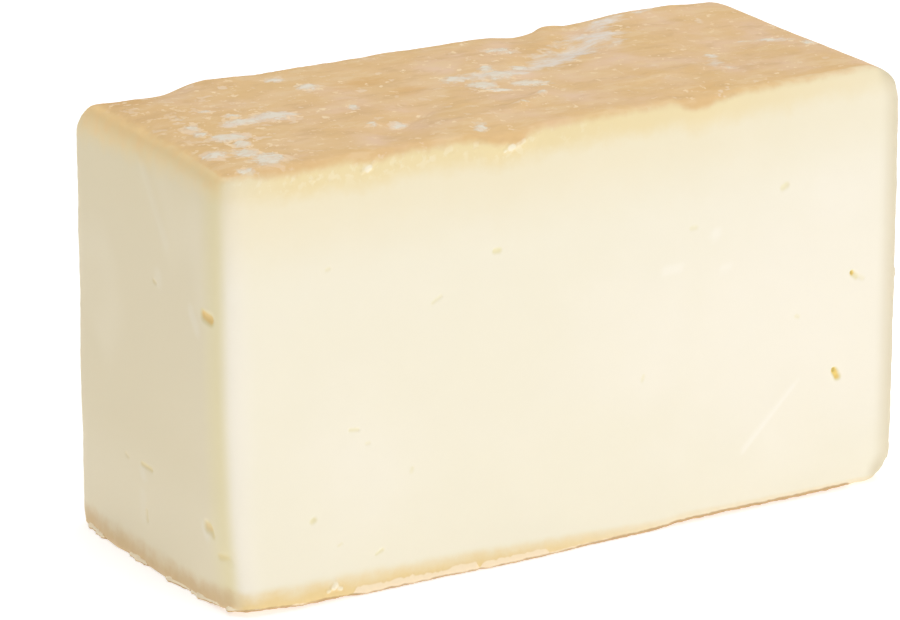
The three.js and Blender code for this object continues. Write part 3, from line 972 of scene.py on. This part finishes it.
def bloomed(finish, colour):
    """The skin given, with the white bloom on it, thin where it is smeared."""
    streaks = finish.swing(1.6, 1.4, detail=3, roughness=0.7, shift=7.3, stretch=2)
    smear = finish.sum(finish.kept("smear"), streaks)
    drawn_out = finish.step(finish.noise(1.2, 3, 0.65, shift=13.1, stretch=2.2), 0.38, 0.62)
    dense = finish.sum(finish.times(drawn_out, 0.4), 0.45)
    colour = finish.blend(finish.times(finish.step(smear, -0.2, 0.7), dense), colour, BLOOM_SMEAR)
    broken = finish.swing(1.1, 1.7, detail=4, roughness=0.7, shift=1.7, stretch=1.5)
    bloom = finish.sum(finish.kept("bloom"), broken)
    colour = finish.blend(finish.times(finish.step(bloom, -0.4, 0.05), 0.5), colour, BLOOM_THIN)
    cover = finish.step(finish.noise(0.8, 3, shift=2.9, stretch=1.6), 0.35, 0.6)
    thick = finish.times(finish.step(bloom, 0, 0.25), finish.sum(finish.times(cover, 0.55), 0.4))
    return finish.blend(thick, colour, BLOOM_THICK)


def paste_colour(finish):
    """Cream paste, paler in soft fields on the front (partly its own paler tone, partly painted light)
    and along the near upright edge (a painted highlight); on the cut end a yellower cream stands as
    painted warm shade.
    """
    field = finish.sum(finish.kept("pale"), finish.swing(9, 0.35, detail=2, shift=2.3))
    colour = finish.blend(finish.step(field, -0.2, 1), PASTE, PASTE_PALE_AND_LIT)
    soft = finish.step(finish.noise(16, 1, shift=8.2), 0.48, 0.7)
    end_paste_warm_shade = finish.blend(soft, PASTE_END_WARM_SHADE, PASTE_END_PALE_WARM_SHADE)
    low = finish.times(finish.step(finish.coordinate("Z"), 18, 8), 0.8)
    end_paste_warm_shade = finish.blend(low, end_paste_warm_shade, PASTE_END_PALE_WARM_SHADE)
    end_paste_warm_shade = finish.blend(finish.step(finish.coordinate("Y"), -13, -18), end_paste_warm_shade, PASTE_END_NEAR_WARM_SHADE)
    return finish.blend(finish.kept("end"), colour, end_paste_warm_shade)


def marked_paste(finish, colour):
    """The paste given, yellower under the rind, with smudges, crumbly bits and a darker right rim: partly
    yellower paste under the right end's rind, partly painted shade where the rim turns from the light.
    """
    under = finish.sum(finish.kept("under"), finish.swing(3, 1.3, detail=3, roughness=0.6, shift=3.1))
    on_front = finish.sum(finish.times(finish.kept("end"), -0.7), 1)
    rich = finish.times(finish.step(finish.coordinate("X"), 80, -5), on_front)
    wide = finish.times(finish.step(under, 15, 2.5), finish.sum(finish.times(rich, 0.33), 0.05))
    colour = finish.blend(wide, colour, UNDER_RIND)
    clear = finish.sum(finish.times(finish.step(finish.coordinate("X"), LEFT, LEFT + 10), 0.6), 0.35)
    fresh = finish.times(finish.times(finish.step(under, 4.4, 1.4), clear), rich)
    colour = finish.blend(fresh, colour, UNDER_RIND)
    below = finish.times(finish.times(finish.step(under, 3.6, 0.4), 0.6), finish.kept("end"))
    colour = finish.blend(below, colour, UNDER_RIND_END)
    colour = finish.blend(finish.times(finish.kept("smudge"), 0.8), colour, SMUDGE_PALE)
    bits = finish.step(finish.noise(1.1, 2, 0.6, shift=12.5), 0.52, 0.64)
    bits = finish.times(finish.times(bits, finish.kept("crumbly")), 0.3)
    colour = finish.blend(bits, colour, CRUMB_PALE)
    # Painted shade, with some real yellowing: the right rim is darkened where it turns away from the
    # light.
    return finish.blend(finish.times(finish.kept("side"), 0.8), colour, SIDE_CREAM_AND_SHADE)


def foot_colour(finish, colour):
    """The paste given, with the tan foot of the cuts, its torn pale ledges and its brown line, which on
    the cut end is also painted shadow under the torn threads; the end's threads are painted pale only
    along the ledges' upper edge, partly a painted highlight.
    """
    within = finish.step(finish.kept("foot"), 0, 0.4)
    foot = finish.sum(finish.kept("foot"), finish.swing(2.5, 0.32, detail=3, roughness=0.65, shift=3.9))
    on_front = finish.times(finish.sum(finish.times(finish.kept("end"), -1), 1), within)
    yellow = finish.times(finish.step(foot, -0.15, 0.85), on_front)
    strong = finish.sum(finish.times(finish.step(finish.coordinate("X"), 20, -10), 0.6), 0.35)
    colour = finish.blend(finish.times(yellow, strong), colour, FOOT_YELLOW)
    on_end = finish.times(finish.step(foot, 0.08, 0.8), finish.times(finish.kept("end"), within))
    colour = finish.blend(on_end, colour, FOOT_TAN)
    colour = finish.blend(finish.step(finish.kept("front_ledge"), 0.02, 0.1), colour, LEDGE_FRONT)
    # The brown line at the very foot: the bottom rind's edge, and on the cut end also painted shadow
    # under the torn threads.
    line = finish.sum(finish.kept("foot_line"), finish.swing(1.6, 0.25, shift=4.4))
    colour = finish.blend(finish.times(finish.step(line, 0.12, -0.12), 0.9), colour, FOOT_BROWN_AND_SHADOW)
    # Pale torn rind painted only along the upper edge of the end's ledges: partly a painted highlight
    # where the edge catches the light.
    return finish.blend(finish.step(finish.kept("thread"), 0.3, 0.8), colour, LEDGE_END_AND_HIGHLIGHT)


def eyes_in(finish, colour):
    """The paste given, with its eyes: faint or golden by their tone, and olive above tone 1, which is
    painted shade in the upper end of a hollow.
    """
    eye = finish.kept("eye")
    faint = finish.blend(finish.kept("end"), EYE_FAINT, EYE_END_FAINT)
    gold = finish.blend(finish.kept("end"), EYE_GOLD, EYE_END)
    tone = finish.blend(finish.step(eye, 0.4, 0.8), faint, gold)
    # Painted shade: the upper ends of some eyes, given tones above 1, turn darker olive.
    tone = finish.blend(finish.step(eye, 1, 1.5), tone, EYE_OLIVE_SHADE)
    return finish.blend(eye, colour, tone)


def cheese_finish():
    """Paste on the cuts and rind elsewhere, with a fine grain."""
    finish = Finish("cheese")
    colour = marked_paste(finish, paste_colour(finish))
    colour = eyes_in(finish, foot_colour(finish, colour))
    lip = finish.sum(finish.kept("lip"), finish.swing(1.8, 0.8, detail=3, shift=5.2))
    skin = finish.step(lip, 1, -1)
    rind = bloomed(finish, flecked(finish, rind_skin(finish)))
    # Painted light: the rind is painted lighter and more golden where it faces left, into the end's
    # shade.
    left_rind_painted_light = finish.sum(finish.kept("left_facing"), finish.swing(2.5, 0.25, detail=2, shift=9.1))
    rind = finish.blend(finish.step(left_rind_painted_light, 0.12, 0.85), rind, RIND_PAINTED_LIGHT_LEFT)
    colour = finish.blend(skin, colour, rind)
    crumb = finish.sum(finish.kept("crumb"), finish.swing(0.9, 0.3, detail=2, shift=10.3))
    colour = finish.blend(finish.times(finish.step(crumb, 0.3, 0.9), 0.85), colour, CRUMB_PALE)
    surface = finish.surface
    finish.feed(surface.inputs["Base Color"], colour)
    rough = finish.node("ShaderNodeMapRange", {"Value": skin, "To Min": 0.45, "To Max": 0.65})
    finish.feed(surface.inputs["Roughness"], rough.outputs["Result"])
    grain = finish.times(finish.sum(finish.times(skin, 0.9), 0.1), finish.noise(0.5, 3, 0.6, stretch=1.5))
    bump = finish.node("ShaderNodeBump", {"Height": grain, "Strength": 0.35, "Distance": 0.15 * MM})
    finish.feed(surface.inputs["Normal"], bump.outputs["Normal"])
    surface.subsurface_method = "BURLEY"
    surface.inputs["Subsurface Weight"].default_value = 0.3
    surface.inputs["Subsurface Radius"].default_value = (0.8, 0.72, 0.6)
    surface.inputs["Subsurface Scale"].default_value = 2.5 * MM
    surface.inputs["Specular IOR Level"].default_value = 0.35
    return finish.material


# The studio

def studio():
    """A white glowing floor, a white room, a soft overhead light and a soft key from the right."""
    bpy.ops.object.select_all(action="DESELECT")
    bpy.ops.mesh.primitive_plane_add(size=FLOOR_SIZE, location=(0, 0, -FLOOR_DROP * MM))
    floor = bpy.context.object
    floor.name = "floor"
    paint = Finish("floor paint")
    paint.surface.inputs["Base Color"].default_value = (0.7, 0.7, 0.7, 1)
    paint.surface.inputs["Roughness"].default_value = 0.9
    paint.surface.inputs["Specular IOR Level"].default_value = 0
    paint.surface.inputs["Emission Color"].default_value = (1, 1, 1, 1)
    paint.surface.inputs["Emission Strength"].default_value = FLOOR_GLOW
    floor.data.materials.append(paint.material)

    scene = bpy.context.scene
    scene.world = bpy.data.worlds.new("white room")
    scene.world.use_nodes = True
    background = scene.world.node_tree.nodes["Background"]
    background.inputs["Color"].default_value = (1, 1, 1, 1)
    background.inputs["Strength"].default_value = ROOM_GLOW
    scene.view_settings.view_transform = "Standard"

    for light in LIGHTS:
        area_light(**light)


def area_light(name, place, aim, width, power):
    """A square soft light that faces the place it is aimed at."""
    lamp = bpy.data.lights.new(name, "AREA")
    lamp.shape = "SQUARE"
    lamp.size = width
    lamp.energy = power
    light = bpy.data.objects.new(name, lamp)
    bpy.context.scene.collection.objects.link(light)
    light.location = place
    light.rotation_euler = (Vector(aim) - Vector(place)).to_track_quat("-Z", "Y").to_euler()


def camera():
    """The photograph's viewpoint, aimed beside the middle of the block."""
    a, e = CAMERA_AZIMUTH, CAMERA_ELEVATION
    back = Vector((math.sin(a) * math.cos(e), -math.cos(a) * math.cos(e), math.sin(e)))
    right = Vector((math.cos(a), math.sin(a), 0))
    up = back.cross(right)
    lens = bpy.data.cameras.new("camera")
    lens.lens = CAMERA_LENS
    lens.sensor_width = 36
    lens.sensor_fit = "HORIZONTAL"
    lens.clip_start = 0.01
    lens.clip_end = 20
    eye = bpy.data.objects.new("camera", lens)
    bpy.context.scene.collection.objects.link(eye)
    eye.location = at(0, 0, HEIGHT / 2) + right * AIM_RIGHT + up * AIM_UP + back * CAMERA_DISTANCE
    eye.rotation_euler = back.to_track_quat("Z", "Y").to_euler()
    bpy.context.scene.camera = eye


def cheese():
    """The whole block, modelled in place of its solid."""
    block = sharp_block()
    round_edges(block)
    remesh(block)
    wear_rims(block)
    refine(block)
    remember_places(block)
    to_left, to_front, _ = torn_rind(*block_places(block))
    mark_cuts(block)
    for stretch in PRESSES:
        press(block, *stretch)
    roughen(block)
    raise_bloom(block)
    stand_out(block, to_left, to_front)
    settle(block)
    bpy.ops.object.shade_smooth_by_angle(angle=SMOOTH_ANGLE)
    block.data.materials.clear()
    block.data.materials.append(cheese_finish())
    return block


block = cheese()
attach(block, "root")
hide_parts(NODE)

camera()
studio()
